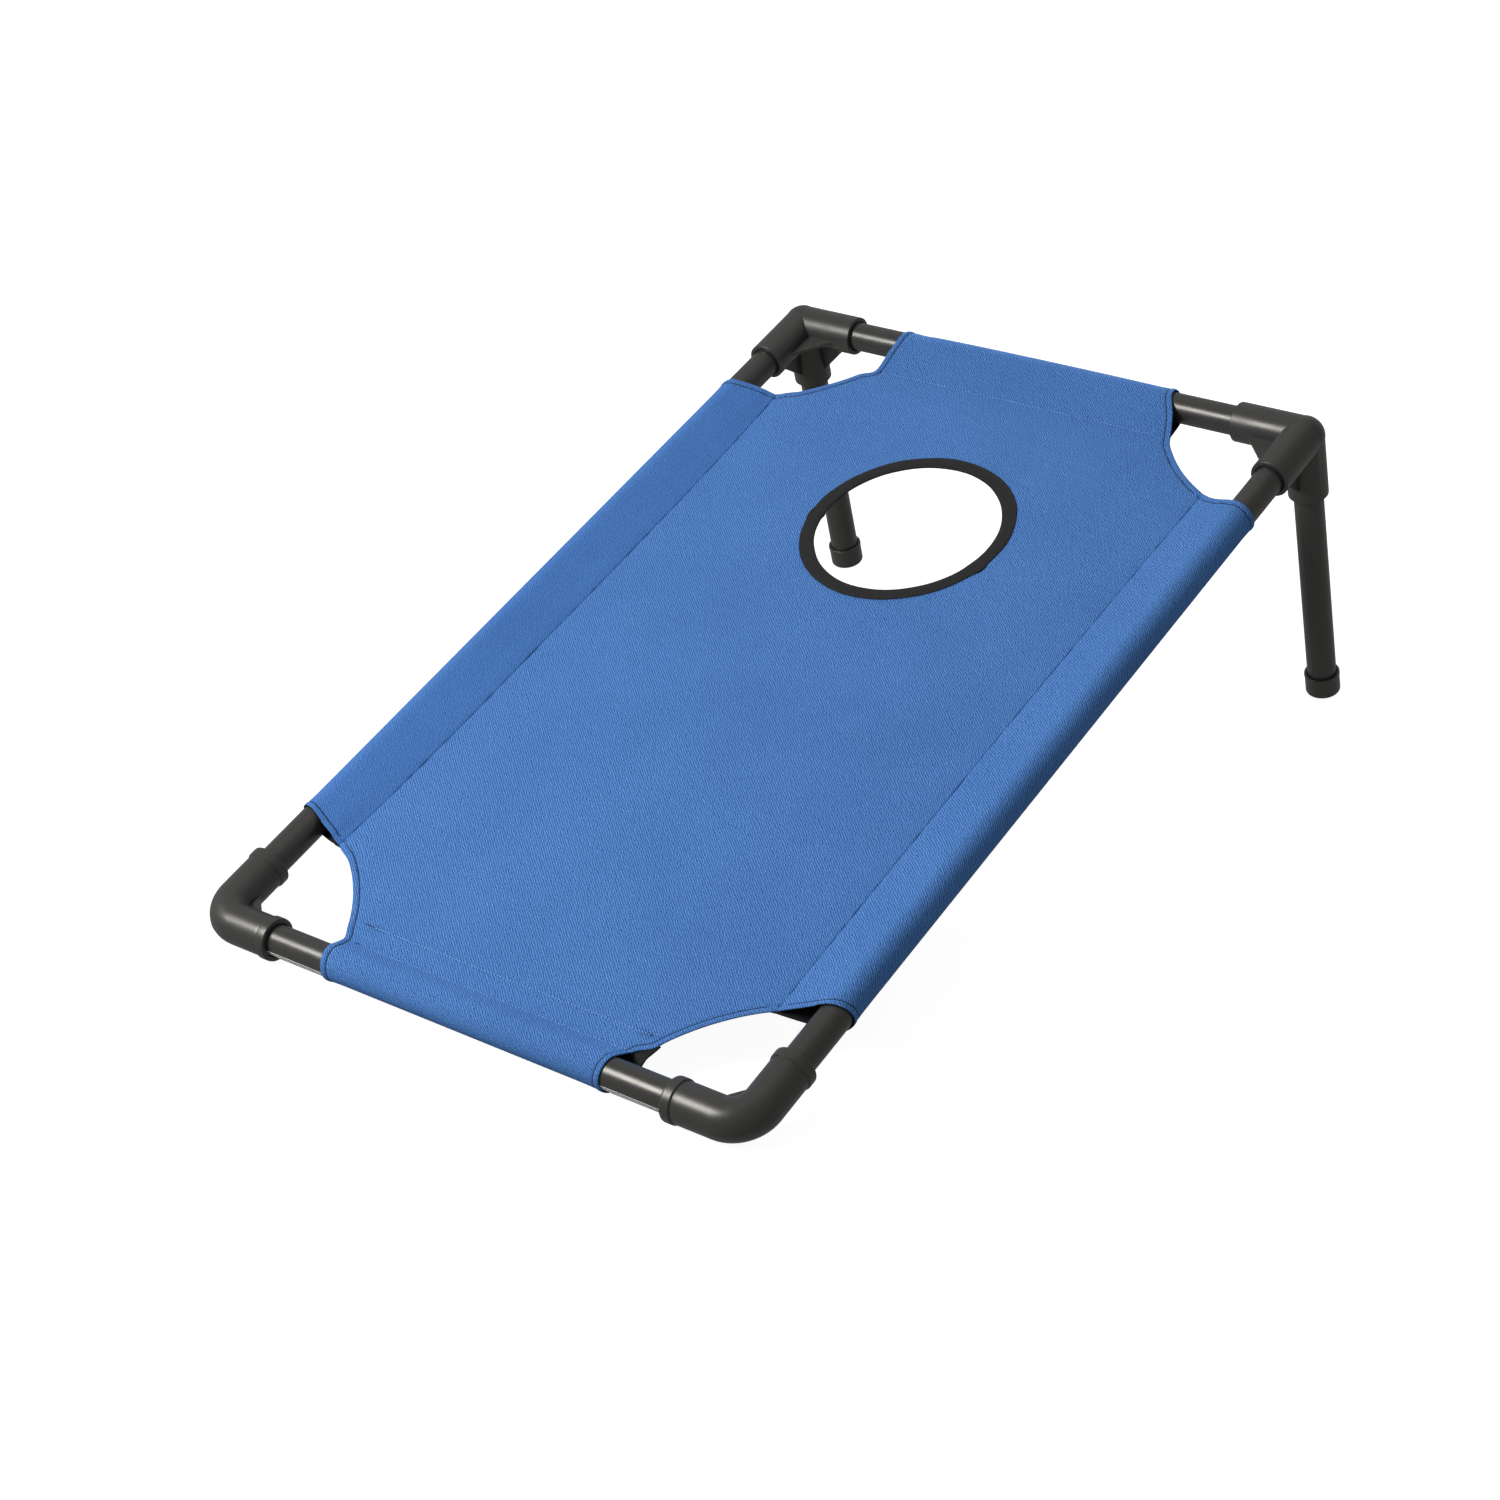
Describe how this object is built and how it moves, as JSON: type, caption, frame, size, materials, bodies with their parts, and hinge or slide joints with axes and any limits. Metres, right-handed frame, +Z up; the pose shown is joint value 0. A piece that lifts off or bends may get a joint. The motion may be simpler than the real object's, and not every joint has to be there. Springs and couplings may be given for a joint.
{
  "type": "cornhole board",
  "caption": "Portable cornhole board: fabric target with a bound bag hole, sewn round a black plastic pipe frame that rests on its front edge and plug-in rear legs.",
  "frame": {"origin": "on the floor under the middle of the board's bounding box", "axes": "+X to the right seen from the front, +Y from the low front rail to the raised back rail, +Z up"},
  "size_m": [0.5768, 0.9229, 0.295],
  "materials": {
    "black_pipe": "semi-gloss black extruded pipe",
    "black_fitting": "satin black moulded plastic",
    "blue_cloth": "coarse woven polyester with a dark backing",
    "black_tape": "ribbed woven binding tape"
  },
  "bodies": {
    "frame": {"front_rail": "black_pipe", "back_rail": "black_pipe", "left_side_rail": "black_pipe", "right_side_rail": "black_pipe", "front_left_elbow": "black_fitting", "front_right_elbow": "black_fitting", "rear_left_corner": "black_fitting", "rear_right_corner": "black_fitting", "target_panel": "blue_cloth", "left_sleeve": "blue_cloth", "right_sleeve": "blue_cloth", "hole_binding": "black_tape"},
    "left_leg": {"left_leg": "black_pipe", "left_leg_cap": "black_fitting"},
    "right_leg": {"right_leg": "black_pipe", "right_leg_cap": "black_fitting"}
  },
  "joints": [
    {"name": "left_leg_pull", "type": "slide", "parent": "frame", "child": "left_leg", "axis": [0, 0.2315, -0.9728], "range_m": [0, 0.045]},
    {"name": "right_leg_pull", "type": "slide", "parent": "frame", "child": "right_leg", "axis": [0, 0.2315, -0.9728], "range_m": [0, 0.045]}
  ]
}
